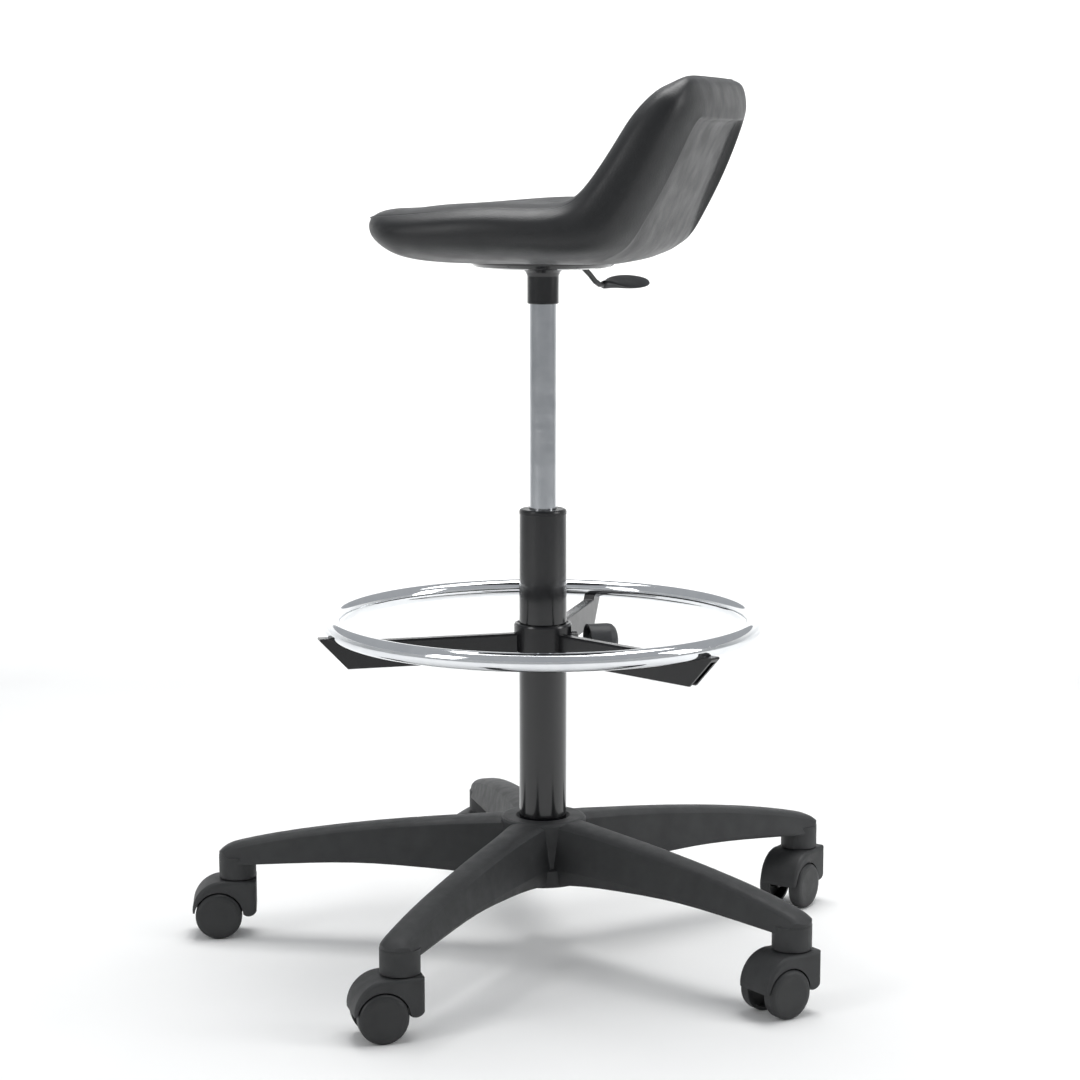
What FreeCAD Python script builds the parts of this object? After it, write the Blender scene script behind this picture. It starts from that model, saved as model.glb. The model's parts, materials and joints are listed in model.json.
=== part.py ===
import FreeCAD, Part
import math
import os
from FreeCAD import Vector

# Drafting chair: moulded seat, gas lift in a tall column, foot ring, star base and twin-wheel castors.
# Millimetres, +Z up, the column's axis on the origin, the floor at z = 0.

os.makedirs("parts", exist_ok=True)

RUN_GAP = 0.05          # radial clearance of a running or sliding fit
HAIR_GAP = 0.5          # air between faces that turn past each other

# ---- castors (heights build up from the floor)
WHEEL_R = 25.0
WHEEL_WIDTH = 14.0
WHEEL_GAP = 24.0        # between the two wheels' inner faces
WHEEL_WALL = 3.0
WHEEL_BORE_DEPTH = 10.5
TRAIL = 20.5            # stem axis to axle axis
HOOD_HALF_WIDTH = 23.0
HOOD_EDGE = 4.0         # rounding of the hood's outer edges
HOOD_RISE = 12.8        # from the top of the wheels to the top of the hood
ARCH_CLEARANCE = 1.2    # wheel tread to wheel arch
HOOD_SHELL = 3.3        # from the wheel tread to the hood's trailing end
TOE_DROP = 1.5          # lowest point of the hood's toe below the axle
AXLE_R = 4.0
STEM_R = 5.5
STEM_FOOT_R = 5.0
STEM_FOOT_LENGTH = 28.3
STEM_NECK_R = 4.3
STEM_COLLAR = 1.2       # thickness of the stem's collar, the gap between hood and boss
STEM_COLLAR_R = 8.0
STEM_CHAMFER = 1.5
STEM_LENGTH = 24.0      # above the boss's lower face
GRIP_START = 7.0
GRIP_LENGTH = 12.0
GRIP_FIT = 0.6          # boss's bore over the stem, filled by the grip ring
GRIP_SLIT = 1.6
CASTOR_HEADINGS = [236.0, 160.0, 185.0, 195.0, 215.0]   # stem to axle, one for each arm

HOOD_TOP = 2 * WHEEL_R + HOOD_RISE
BOSS_BOTTOM = HOOD_TOP + STEM_COLLAR
STEM_BOTTOM = HOOD_TOP - STEM_FOOT_LENGTH
STEM_TOP = BOSS_BOTTOM + STEM_LENGTH
GRIP_BOTTOM = BOSS_BOTTOM + GRIP_START
GRIP_TOP = GRIP_BOTTOM + GRIP_LENGTH

# ---- column and gas lift
COLUMN_R = 25.0         # outer radius of the black column tube
COLUMN_WALL = 2.0
COLUMN_LENGTH = 390.0
COLUMN_FOOT = 3.0       # thickness of the turned-in foot
TAPER_PER_MM = 0.0244   # 1.4 degree lock taper
CYLINDER_R = 14.0       # gas spring cylinder
CYLINDER_WALL = 1.5
CYLINDER_LENGTH = 403.0
CYLINDER_OVERLAP = 155.0    # length of cylinder still in the column at full height
CYLINDER_TAPER = 26.0   # length of the tapered top
BUSH_LENGTH = 90.0
BUSH_RIM = 5.0
ROD_R = 5.0
ROD_TAIL = 6.0          # rod below the column's foot
ROD_GROOVE = 1.0
CLIP_THICKNESS = 2.0
CLIP_WIDTH = 5.0
PISTON_LIFT = 14.0      # piston above the cylinder's foot at full height
PISTON_LENGTH = 14.0
ROD_SEAL_LENGTH = 10.0
VALVE_LENGTH = 22.0
BUTTON_R = 4.0
BUTTON_RISE = 14.0      # button above the cylinder's top
BEARING_R = ROD_R + 8.0
BEARING_GAP = 0.3       # radial air between the rod and the lower race
BALL_R = 2.0
BALL_COUNT = 10
RACE = 1.5
BUFFER_R = 11.0
BUFFER_LENGTH = 19.5

# ---- star base
ARM_COUNT = 5
FIRST_ARM = 29.6        # degrees
STEM_CIRCLE = 333.0     # radius of the castor stems
BOSS_R = 20.0
BOSS_STEP = 0.4         # the arm's end stands this far inside the boss wall
ARM_SOLID_END = 13.0    # length left solid between the arm's hollow and the boss
HUB_LIFT = 10.0         # hub ring's lower edge above the bosses' lower faces
HUB_HEIGHT = 67.5
HUB_RING_HEIGHT = 18.0
HUB_TUBE_R = COLUMN_R + 7.0
HUB_R = COLUMN_R + 21.0
HUB_RING_R = COLUMN_R + 25.0
BASE_WALL = 4.0
RIB_THICKNESS = 3.0
RIB_LIFT = 32.0         # lower edge of the centre ribs above the bosses' lower faces
CROSS_RIBS = 4
COLUMN_INSET = 2.0      # column's foot above the hub's lower face
COLUMN_FLARE = 3.6      # radial opening of the hub round the column
SHOULDER_DROP = 5.0     # from an arm's ridge to the start of its side wall

HUB_RING_BOTTOM = BOSS_BOTTOM + HUB_LIFT
HUB_TOP = HUB_RING_BOTTOM + HUB_HEIGHT
COLUMN_BOTTOM = HUB_RING_BOTTOM + COLUMN_INSET
COLUMN_TOP = COLUMN_BOTTOM + COLUMN_LENGTH
CYLINDER_BOTTOM = COLUMN_TOP - CYLINDER_OVERLAP
CYLINDER_TOP = CYLINDER_BOTTOM + CYLINDER_LENGTH
PISTON_Z = CYLINDER_BOTTOM + PISTON_LIFT
BUTTON_TOP = CYLINDER_TOP + BUTTON_RISE
BEARING_FLOOR = COLUMN_BOTTOM + COLUMN_FOOT
BUFFER_BASE = BEARING_FLOOR + 2 * RACE + 2 * BALL_R

# ---- foot ring
RING_R = 222.0          # centre line of the bent tube
RING_TUBE_R = 9.5
RING_WALL = 1.5
RING_LIFT = 274.0       # ring's centre above the column's foot
SPOKE_COUNT = 3
FIRST_SPOKE = 75.5      # degrees
SPOKE_WIDTH = 12.0
SPOKE_DEPTH = 28.5
SPOKE_WALL = 2.5
SPOKE_ROOF = 3.0
SPOKE_SCREW_R = 2.5
SPOKE_SCREW_HEAD = 2.4
HEAD_GAP = 0.2          # screw head to the spoke's inner walls
SPOKE_ROUND = 2.5
CRADLE = 4.0            # height of the spoke's cradle round the ring
COLLAR_R = COLUMN_R + 5.5
COLLAR_HEIGHT = 48.0
LINER_WALL = 2.0
KNOB_ANGLE = 15.0       # degrees
KNOB_DROP = 22.5        # knob's axis below the ring's centre
KNOB_R = 18.0
KNOB_LENGTH = 31.0
KNOB_CAP = 12.0         # solid plastic beyond the end of the clamp screw
KNOB_WALL = 3.0
KNOB_STANDOFF = 18.5    # from the collar's wall to the knob
CLAMP_SCREW_R = 4.0
CLAMP_BOSS_R = 11.0
CLAMP_BOSS_RISE = 6.0
NUT_R = 6.5
NUT_LENGTH = 5.5
PAD_R = 5.5
PAD_THICKNESS = 2.0
PAD_TRAVEL = 1.0

RING_Z = COLUMN_BOTTOM + RING_LIFT
SPOKE_TOP = RING_Z - RING_TUBE_R - HAIR_GAP
SPOKE_BOTTOM = SPOKE_TOP - SPOKE_DEPTH
WEB_TOP = SPOKE_TOP - SPOKE_ROOF
COLLAR_TOP = RING_Z
COLLAR_BOTTOM = COLLAR_TOP - COLLAR_HEIGHT
COLLAR_BORE = COLUMN_R + LINER_WALL + 2 * RUN_GAP
SPOKE_SCREW_HEAD_R = SPOKE_WIDTH / 2 - SPOKE_WALL - HEAD_GAP
KNOB_Z = RING_Z - KNOB_DROP
KNOB_INNER = COLLAR_R + KNOB_STANDOFF
KNOB_OUTER = KNOB_INNER + KNOB_LENGTH
CLAMP_BOSS_END = COLLAR_R + CLAMP_BOSS_RISE

# ---- seat mounting
PLATE_R = 78.0
PLATE_DEPTH = 9.6
PLATE_SHEET = 3.0
PLATE_LIFT = 9.0        # dish's floor above the cylinder's top
SOCKET_WALL = 2.5
SOCKET_DROP = 28.5      # socket's lower end below the cylinder's top
SOCKET_FLARE = 7.5
BOARD_LENGTH = 178.0
BOARD_WIDTH = 190.0
BOARD_SHIFT = -6.0      # board's centre, towards the seat's rear
BOARD_CORNER = 30.0
BOARD_THICKNESS = 12.0
BOLT_SPACING = 88.0
BOLT_R = 3.0
BOLT_HEAD_R = 5.6
BOLT_HEAD = 3.6
WASHER_R = 7.0
WASHER_THICKNESS = 1.2
PILLAR_RIM = 2.0        # wall of the pillar round the washer
BOLT_SINK = 5.2         # depth of the pillar's counterbore, which hides the bolt's head
WASHER_GAP = 0.2
TNUT_R = 9.0
TNUT_BARREL_R = 4.2
TNUT_FLANGE = 1.4

PLATE_BOTTOM = CYLINDER_TOP + PLATE_LIFT
PLATE_TOP = PLATE_BOTTOM + PLATE_DEPTH
PLATE_FLOOR = PLATE_BOTTOM + PLATE_SHEET
SOCKET_R = CYLINDER_R + SOCKET_WALL
SOCKET_BOTTOM = CYLINDER_TOP - SOCKET_DROP
SOCKET_NECK_R = SOCKET_R + SOCKET_FLARE
BOLT_SEAT = PLATE_BOTTOM + BOLT_SINK
BOARD_TOP = PLATE_TOP + BOARD_THICKNESS

# ---- release lever
LEVER_ANGLE = 50.0      # degrees
LEVER_ROD_R = 3.0
LEVER_PIVOT = 38.0      # radius of the pivot pin
LEVER_PIN_R = 1.5
LEVER_EYE = 1.6         # wall of the rod's eye
LEVER_TIP = 1.5         # rod's inner end past the button's axis
EAR_THICKNESS = 1.8
EAR_WIDTH = 9.0
EAR_RISE = 4.0          # ear above the pin
POCKET_DEPTH = 8.0      # clearance routed in the board above the lever
POCKET_WIDTH = 22.0
SLOT_WIDTH = 9.0
SLOT_START = 12.0
SLOT_END = 73.0
EAR_GAP = 0.3           # slot's side to the ear

LEVER_Z = BUTTON_TOP + LEVER_ROD_R

# ---- seat
SEAT_TURN = -15.5       # degrees that the seat's rear is swung from +X
SEAT_WIDTH = 384.0
SEAT_FRONT = 152.0      # front lip ahead of the column's axis
SEAT_REAR = 192.0       # back's rearmost point behind the column's axis
SEAT_THICKNESS = 68.4   # from the dish's rim to the top of the pan's sides
BACK_RISE = 116.0       # back's top edge above the pan's sides
SEAT_DISH = 16.0        # depth of the hollow in the sitting face
SECTION_POINTS = 24


def tube(outer, inner, z0, z1):
    """A straight tube about the column's axis."""
    body = Part.makeCylinder(outer, z1 - z0, Vector(0, 0, z0))
    return body.cut(Part.makeCylinder(inner, z1 - z0, Vector(0, 0, z0)))


def revolve(points):
    """A closed outline of (radius, height) pairs turned about the column's axis."""
    corners = [Vector(r, 0, z) for r, z in points]
    wire = Part.makePolygon(corners + corners[:1])
    return Part.Face(wire).revolve(Vector(0, 0, 0), Vector(0, 0, 1), 360)


def plate(points, half_width):
    """A closed outline of (x, z) pairs given a thickness across Y."""
    corners = [Vector(x, -half_width, z) for x, z in points]
    wire = Part.makePolygon(corners + corners[:1])
    return Part.Face(wire).extrude(Vector(0, 2 * half_width, 0))


def box(x0, x1, half_width, z0, z1):
    """A block lying along X, centred on Y = 0."""
    return Part.makeBox(x1 - x0, 2 * half_width, z1 - z0, Vector(x0, -half_width, z0))


def pin_y(radius, y0, y1, x, z):
    """A cylinder that lies along Y."""
    return Part.makeCylinder(radius, y1 - y0, Vector(x, y0, z), Vector(0, 1, 0))


def pin_x(radius, x0, x1, z):
    """A cylinder that lies along X."""
    return Part.makeCylinder(radius, x1 - x0, Vector(x0, 0, z), Vector(1, 0, 0))


def post(radius, x, y, z0, z1):
    """An upright cylinder."""
    return Part.makeCylinder(radius, z1 - z0, Vector(x, y, z0))


def turned(shape, degrees):
    """A copy turned about the column's axis."""
    copy = shape.copy()
    copy.rotate(Vector(0, 0, 0), Vector(0, 0, 1), degrees)
    return copy


def moved(shape, x, y, z=0.0):
    """A copy shifted by the given amounts."""
    copy = shape.copy()
    copy.translate(Vector(x, y, z))
    return copy


def join(shapes):
    """Several touching shapes made into one solid."""
    whole = shapes[0].fuse(shapes[1:]) if len(shapes) > 1 else shapes[0]
    return whole.removeSplitter()


def save(node, shapes):
    """Write one node, as one solid or as a group of separate solids."""
    shape = shapes[0] if len(shapes) == 1 else Part.makeCompound(shapes)
    shape.exportStep("parts/" + node + ".step")
    bounds = shape.BoundBox
    print(node, "solids", len(shape.Solids), "valid", shape.isValid(), "cm3", round(shape.Volume / 1000, 2),
          "z", round(bounds.ZMin, 1), round(bounds.ZMax, 1))


def arm_angle(index):
    return FIRST_ARM + index * 360.0 / ARM_COUNT


def stem_place(index):
    angle = math.radians(arm_angle(index))
    return STEM_CIRCLE * math.cos(angle), STEM_CIRCLE * math.sin(angle)


# ---- column ------------------------------------------------------------------------------

def column_tube():
    """Black steel tube: parallel above the hub, lock taper inside it, turned in at the foot."""
    taper = (HUB_TOP - COLUMN_BOTTOM) * TAPER_PER_MM
    foot = COLUMN_R - taper
    hole = ROD_R + 1.0
    return revolve([
        (COLUMN_R, COLUMN_TOP), (COLUMN_R, HUB_TOP), (foot, COLUMN_BOTTOM), (hole, COLUMN_BOTTOM),
        (hole, BEARING_FLOOR), (foot - COLUMN_WALL, BEARING_FLOOR),
        (COLUMN_R - COLUMN_WALL, HUB_TOP), (COLUMN_R - COLUMN_WALL, COLUMN_TOP)])


def guide_bush():
    """Moulded bush in the column's mouth that guides the gas cylinder; its rim caps the tube."""
    inner = CYLINDER_R + RUN_GAP
    sleeve = COLUMN_R - COLUMN_WALL
    rim_top = COLUMN_TOP + BUSH_RIM
    return revolve([
        (inner, COLUMN_TOP - BUSH_LENGTH), (sleeve, COLUMN_TOP - BUSH_LENGTH), (sleeve, COLUMN_TOP),
        (COLUMN_R, COLUMN_TOP), (COLUMN_R, rim_top - 2.5), (COLUMN_R - 0.8, rim_top - 0.8),
        (COLUMN_R - 2.5, rim_top), (inner + 1.0, rim_top), (inner, rim_top - 1.0)])


def bearing_parts():
    """Lower race, ball cage, ring of balls and upper race of the thrust bearing on the rod."""
    cage_r = BEARING_R - 3.5
    centre = BEARING_FLOOR + RACE + BALL_R
    lower = tube(BEARING_R, ROD_R + BEARING_GAP, BEARING_FLOOR, BEARING_FLOOR + RACE)
    upper = tube(BEARING_R, ROD_R, centre + BALL_R, centre + BALL_R + RACE)
    cage = tube(BEARING_R - 0.5, ROD_R + 0.5, centre - 0.8, centre + 0.8)
    balls = []
    for index in range(BALL_COUNT):
        angle = math.radians(index * 360.0 / BALL_COUNT)
        spot = Vector(cage_r * math.cos(angle), cage_r * math.sin(angle), centre)
        balls.append(Part.makeSphere(BALL_R, spot))
        cage = cage.cut(post(BALL_R + RUN_GAP, spot.x, spot.y, centre - 2.0, centre + 2.0))
    return lower, upper, cage, balls


def rubber_buffer():
    """Rubber stop on the rod that catches the cylinder at the bottom of its travel."""
    top = BUFFER_BASE + BUFFER_LENGTH
    return revolve([(ROD_R, BUFFER_BASE), (BUFFER_R, BUFFER_BASE), (BUFFER_R, top - 6.0),
                    (BUFFER_R - 2.5, top), (ROD_R, top)])


def piston_rod():
    """Ground steel rod from the column's foot up into the cylinder, grooved for its clip."""
    groove = COLUMN_BOTTOM - HAIR_GAP
    low = COLUMN_BOTTOM - ROD_TAIL
    neck = ROD_R - ROD_GROOVE
    return revolve([
        (0, low), (ROD_R - 1.0, low), (ROD_R, low + 1.0), (ROD_R, groove - CLIP_THICKNESS),
        (neck, groove - CLIP_THICKNESS), (neck, groove), (ROD_R, groove),
        (ROD_R, PISTON_Z + PISTON_LENGTH), (0, PISTON_Z + PISTON_LENGTH)])


def retaining_clip():
    """Spring clip in the rod's groove, below the column's foot."""
    top = COLUMN_BOTTOM - HAIR_GAP
    inner = ROD_R - ROD_GROOVE
    ring = tube(inner + CLIP_WIDTH, inner, top - CLIP_THICKNESS, top)
    return ring.cut(box(inner - 1.0, inner + CLIP_WIDTH + 1.0, 1.5, top - CLIP_THICKNESS - 1.0, top + 1.0))


def piston():
    """Piston on the rod's upper end, running in the cylinder."""
    return tube(CYLINDER_R - CYLINDER_WALL - RUN_GAP, ROD_R, PISTON_Z, PISTON_Z + PISTON_LENGTH)


def gas_cylinder():
    """Plated cylinder: open at the foot, its top tapered to lock in the seat's socket."""
    start = CYLINDER_TOP - CYLINDER_TAPER
    tip = CYLINDER_R - CYLINDER_TAPER * TAPER_PER_MM
    inner = CYLINDER_R - CYLINDER_WALL
    return revolve([
        (inner, CYLINDER_BOTTOM), (CYLINDER_R, CYLINDER_BOTTOM), (CYLINDER_R, start),
        (tip, CYLINDER_TOP), (tip - CYLINDER_WALL, CYLINDER_TOP), (inner, start)])


def rod_seal():
    """Guide and seal that closes the cylinder's foot round the rod."""
    outer = CYLINDER_R - CYLINDER_WALL
    return tube(outer, ROD_R + RUN_GAP, CYLINDER_BOTTOM, CYLINDER_BOTTOM + ROD_SEAL_LENGTH)


def valve_body():
    """Valve block in the cylinder's top, bored for the release button."""
    start = CYLINDER_TOP - CYLINDER_TAPER
    inner = CYLINDER_R - CYLINDER_WALL
    tip = inner - CYLINDER_TAPER * TAPER_PER_MM
    low = CYLINDER_TOP - VALVE_LENGTH
    low_r = inner - (low - start) * TAPER_PER_MM
    bore = BUTTON_R + RUN_GAP
    return revolve([(bore, low), (low_r, low), (tip, CYLINDER_TOP), (bore, CYLINDER_TOP)])


def release_button():
    """Button that opens the gas valve when the lever presses it."""
    low = CYLINDER_TOP - VALVE_LENGTH + 6.0
    return revolve([(0, low), (BUTTON_R, low), (BUTTON_R, BUTTON_TOP - 1.0),
                    (BUTTON_R - 1.0, BUTTON_TOP), (0, BUTTON_TOP)])


# ---- star base ---------------------------------------------------------------------------

# Along an arm from the hub (0) to the stem (1): ridge as a share of the hub's height; crease and lower
# edge above the bosses' lower faces; half-widths at shoulder, crease and edge over the boss's radius.
ARM_STATIONS = [
    (0.03, 0.985, 29.0, 14.0, -0.6, 4.4, 2.4),
    (0.12, 0.960, 29.0, 17.0, -2.4, 2.4, 0.4),
    (0.29, 0.907, 29.0, 20.5, -3.8, 0.6, -1.4),
    (0.50, 0.823, 28.5, 23.0, -4.4, 0.0, -2.0),
    (0.71, 0.714, 25.0, 21.5, -4.5, 0.0, -1.6)]
# The same past the arm's end, each at its distance from the boss's far side.
TIP_STATIONS = [
    (-53.0, 0.596, 21.0, 18.5, -4.5, -0.3, -1.1),
    (-23.0, 0.506, 18.5, 16.5, -4.5, -0.4, -0.9),
    (-8.0, 0.434, 17.0, 15.0, -4.5, -0.4, -0.8),
    (-1.0, 0.361, 16.0, 14.0, -4.7, -0.4, -0.8),
    (4.0, 0.271, 15.0, 13.0, -5.0, -0.4, -0.8)]
ROOT_STATION = (0.986, 29.0, 12.0, 0.0, 5.0, 3.0)


def arm_stations():
    """Every station as (radius, ridge, crease, edge, half-widths) in millimetres."""
    places = [(HUB_TUBE_R - 10.0, ROOT_STATION)]
    places += [(HUB_R + row[0] * (STEM_CIRCLE - HUB_R), row[1:]) for row in ARM_STATIONS]
    places += [(STEM_CIRCLE + BOSS_R + row[0], row[1:]) for row in TIP_STATIONS]
    stations = []
    for radius, (ridge, crease, edge, shoulder, middle, foot) in places:
        stations.append((radius, BOSS_BOTTOM + ridge * (HUB_TOP - BOSS_BOTTOM), BOSS_BOTTOM + crease,
                         BOSS_BOTTOM + edge, BOSS_R + shoulder, BOSS_R + middle, BOSS_R + foot))
    return stations


def arm_section(station, inset, floor):
    """One cross-section of an arm: flat foot, undercut skirt, leaning side and crowned top."""
    radius, ridge, crease, edge, shoulder, middle, foot = station
    ridge -= inset
    shoulder -= inset
    middle -= inset
    foot -= inset
    low = edge if floor is None else floor
    side = ridge - SHOULDER_DROP
    left = [Vector(radius, -foot, low), Vector(radius, -middle, max(crease, low + 1.0)),
            Vector(radius, -shoulder, side)]
    right = [Vector(p.x, -p.y, p.z) for p in reversed(left)]
    crown = [left[-1], Vector(radius, -shoulder * 0.72, ridge - 1.5), Vector(radius, 0, ridge),
             Vector(radius, shoulder * 0.72, ridge - 1.5), right[0]]
    top = Part.BSplineCurve()
    top.interpolate(crown)
    edges = [Part.makeLine(left[0], left[1]), Part.makeLine(left[1], left[2]), top.toShape(),
             Part.makeLine(right[0], right[1]), Part.makeLine(right[1], right[2]),
             Part.makeLine(right[2], left[0])]
    return Part.Wire(edges)


def arm_body():
    """Outer shape of one arm along +X, rounded off over the castor boss."""
    length = Part.makeLoft([arm_section(s, 0.0, None) for s in arm_stations()], True, False)
    end = post(BOSS_R - BOSS_STEP, STEM_CIRCLE, 0, BOSS_BOTTOM, HUB_TOP + 10.0)
    return length.common(box(0.0, STEM_CIRCLE, 2 * BOSS_R, BOSS_BOTTOM, HUB_TOP + 10.0).fuse(end))


def arm_hollow():
    """Space under one arm, open below, between the hub and the castor boss."""
    limit = STEM_CIRCLE - BOSS_R - ARM_SOLID_END + 1.0
    inside = [s for s in arm_stations() if HUB_TUBE_R < s[0] < limit]
    return Part.makeLoft([arm_section(s, BASE_WALL, BOSS_BOTTOM - 10.0) for s in inside], True, False)


def arm_ribs():
    """Centre rib and cross ribs that stiffen the hollow arm."""
    low = BOSS_BOTTOM + RIB_LIFT
    end = STEM_CIRCLE - BOSS_R
    ribs = [box(HUB_TUBE_R - 1.0, end + 1.0, RIB_THICKNESS / 2, low, HUB_TOP)]
    pitch = (end - HUB_R) / (CROSS_RIBS + 1)
    for index in range(CROSS_RIBS):
        x = HUB_R + pitch * (index + 1)
        ribs.append(box(x, x + RIB_THICKNESS, 2 * BOSS_R, low + 4.0, HUB_TOP))
    return ribs


def hub_blank():
    """Outer shape of the hub: plain drum with a wider ring below the arms' creases."""
    edge = 1.5
    step = HUB_RING_BOTTOM + HUB_RING_HEIGHT
    return revolve([
        (0, HUB_RING_BOTTOM), (HUB_RING_R - 1.0, HUB_RING_BOTTOM), (HUB_RING_R, HUB_RING_BOTTOM + 1.0),
        (HUB_RING_R, step), (HUB_R, step + edge), (HUB_R, HUB_TOP - 2 * edge),
        (HUB_R - edge, HUB_TOP - edge / 2), (HUB_R - 3 * edge, HUB_TOP), (0, HUB_TOP)])


def column_seat():
    """Space that the tapered foot of the column takes up in the hub, with the flare at its mouth."""
    bottom = HUB_RING_BOTTOM - 10.0
    return revolve([
        (0, bottom), (COLUMN_R - (HUB_TOP - bottom) * TAPER_PER_MM, bottom),
        (COLUMN_R - 5.0 * TAPER_PER_MM, HUB_TOP - 5.0), (COLUMN_R + COLUMN_FLARE, HUB_TOP - 0.6),
        (COLUMN_R + COLUMN_FLARE, HUB_TOP + 5.0), (0, HUB_TOP + 5.0)])


def star_base():
    """Five-armed moulding with a tapered hub for the column and a boss for each castor."""
    outer = arm_body()
    hollow = arm_hollow()
    ribs = [rib.common(outer) for rib in arm_ribs()]
    angles = [index * 360.0 / ARM_COUNT for index in range(ARM_COUNT)]
    body = hub_blank()
    for a in angles:
        body = body.fuse(turned(outer, a))
    body = body.cut(tube(HUB_R - BASE_WALL, HUB_TUBE_R, HUB_RING_BOTTOM - 1.0, HUB_TOP - 6.0))
    for a in angles:
        body = body.cut(turned(hollow, a))
    body = body.fuse(tube(HUB_TUBE_R, COLUMN_R / 2, HUB_RING_BOTTOM, HUB_TOP - 3.0))
    for a in angles:
        for rib in ribs:
            body = body.fuse(turned(rib, a))
        body = body.fuse(turned(post(BOSS_R, STEM_CIRCLE, 0, BOSS_BOTTOM, STEM_TOP), a))
        bore = post(STEM_R + GRIP_FIT, STEM_CIRCLE, 0, BOSS_BOTTOM - 1.0, STEM_TOP + 1.0)
        body = body.cut(turned(bore, a))
    body = body.cut(column_seat())
    return turned(body, FIRST_ARM)


# ---- castors -----------------------------------------------------------------------------

def castor_stem():
    """Steel stem: foot in the hood, thin collar between hood and boss, neck for the grip ring."""
    return revolve([
        (0, STEM_BOTTOM), (STEM_FOOT_R - 0.8, STEM_BOTTOM), (STEM_FOOT_R, STEM_BOTTOM + 0.8),
        (STEM_FOOT_R, HOOD_TOP), (STEM_COLLAR_R, HOOD_TOP), (STEM_COLLAR_R, BOSS_BOTTOM),
        (STEM_R, BOSS_BOTTOM), (STEM_R, GRIP_BOTTOM), (STEM_NECK_R, GRIP_BOTTOM), (STEM_NECK_R, GRIP_TOP),
        (STEM_R, GRIP_TOP), (STEM_R, STEM_TOP - STEM_CHAMFER), (STEM_R - STEM_CHAMFER, STEM_TOP),
        (0, STEM_TOP)])


def grip_ring():
    """Split spring sleeve that holds the stem in the boss."""
    sleeve = tube(STEM_R + GRIP_FIT, STEM_NECK_R, GRIP_BOTTOM, GRIP_TOP)
    return sleeve.cut(box(1.0, 2 * STEM_R, GRIP_SLIT / 2, GRIP_BOTTOM - 1.0, GRIP_TOP + 1.0))


def hood_outline():
    """Side outline of the castor hood, stem at x = 0 and axle at x = TRAIL."""
    front = Vector(-BOSS_R, 0, WHEEL_R + 4.0)
    corner = Vector(-BOSS_R, 0, HOOD_TOP)
    crown = Vector(TRAIL - 8.5, 0, HOOD_TOP)
    tail = Vector(TRAIL + WHEEL_R + HOOD_SHELL, 0, WHEEL_R + 7.0)
    heel = tail - Vector(0.2, 0, 4.0)
    toe = Vector(TRAIL - WHEEL_R - 0.5, 0, WHEEL_R + 1.0)
    back_bend = Vector(TRAIL + 0.72 * WHEEL_R, 0, HOOD_TOP - 8.6)
    toe_bend = Vector((front.x + toe.x) / 2 - 0.5, 0, WHEEL_R - TOE_DROP)
    return Part.Wire([
        Part.makeLine(front, corner), Part.makeLine(corner, crown),
        Part.Arc(crown, back_bend, tail).toShape(), Part.makeLine(tail, heel),
        Part.makeLine(heel, toe), Part.Arc(toe, toe_bend, front).toShape()])


def castor_hood():
    """Hood moulding: fender over both wheels, toe in front, web between the wheels for axle and stem."""
    face = Part.Face(hood_outline())
    face.translate(Vector(0, -HOOD_HALF_WIDTH, 0))
    solid = face.extrude(Vector(0, 2 * HOOD_HALF_WIDTH, 0))
    rim = [e for e in solid.Edges
           if abs(abs(e.CenterOfMass.y) - HOOD_HALF_WIDTH) < 0.01 and e.BoundBox.YLength < 0.01]
    solid = solid.makeFillet(HOOD_EDGE, rim)
    wide = HOOD_HALF_WIDTH + 10.0
    arch = pin_y(WHEEL_R + ARCH_CLEARANCE, -wide, wide, TRAIL, WHEEL_R)
    web_half = WHEEL_GAP / 2 - HAIR_GAP
    web_top = HOOD_TOP - 9.8
    web_side = [(-STEM_FOOT_R - 3.0, STEM_BOTTOM - 3.5), (TRAIL - 9.5, WHEEL_R - 5.0),
                (TRAIL + 9.5, WHEEL_R - 5.0), (TRAIL + 11.5, WHEEL_R + 5.0), (TRAIL + 11.5, web_top),
                (-STEM_FOOT_R - 3.0, web_top)]
    axle_boss = pin_y(AXLE_R + 6.0, -web_half, web_half, TRAIL, WHEEL_R)
    web = join([plate(web_side, web_half), axle_boss])
    whole = join([solid.cut(arch), web.common(solid)])
    whole = whole.cut(pin_y(AXLE_R, -wide, wide, TRAIL, WHEEL_R))
    return whole.cut(post(STEM_FOOT_R + RUN_GAP, 0, 0, STEM_BOTTOM - HAIR_GAP, HOOD_TOP + 1.0))


def castor_axle():
    """Steel axle pressed through the hood's web."""
    reach = WHEEL_GAP / 2 + WHEEL_BORE_DEPTH - HAIR_GAP
    return pin_y(AXLE_R, -reach, reach, TRAIL, WHEEL_R)


def castor_wheel(side):
    """Cupped wheel moulding: smooth outer face with a rounded rim, hub tube on the axle."""
    inner = WHEEL_GAP / 2
    outer = inner + WHEEL_WIDTH
    face = outer - WHEEL_WALL
    bore = AXLE_R + RUN_GAP
    depth = inner + WHEEL_BORE_DEPTH
    rim = 3.5
    outline = [
        (bore, inner), (bore + rim, inner), (bore + rim, face), (WHEEL_R - rim, face),
        (WHEEL_R - rim, inner + 0.4), (WHEEL_R - 0.6, inner + 0.4), (WHEEL_R, inner + 1.0),
        (WHEEL_R, outer - 4.5), (WHEEL_R - 0.5, outer - 2.6), (WHEEL_R - 1.7, outer - 1.2),
        (WHEEL_R - 3.6, outer - 0.4), (WHEEL_R - 6.5, outer), (0, outer), (0, depth), (bore, depth)]
    solid = revolve(outline)
    solid.rotate(Vector(0, 0, 0), Vector(1, 0, 0), -90 * side)
    solid.translate(Vector(TRAIL, 0, WHEEL_R))
    return solid


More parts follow.
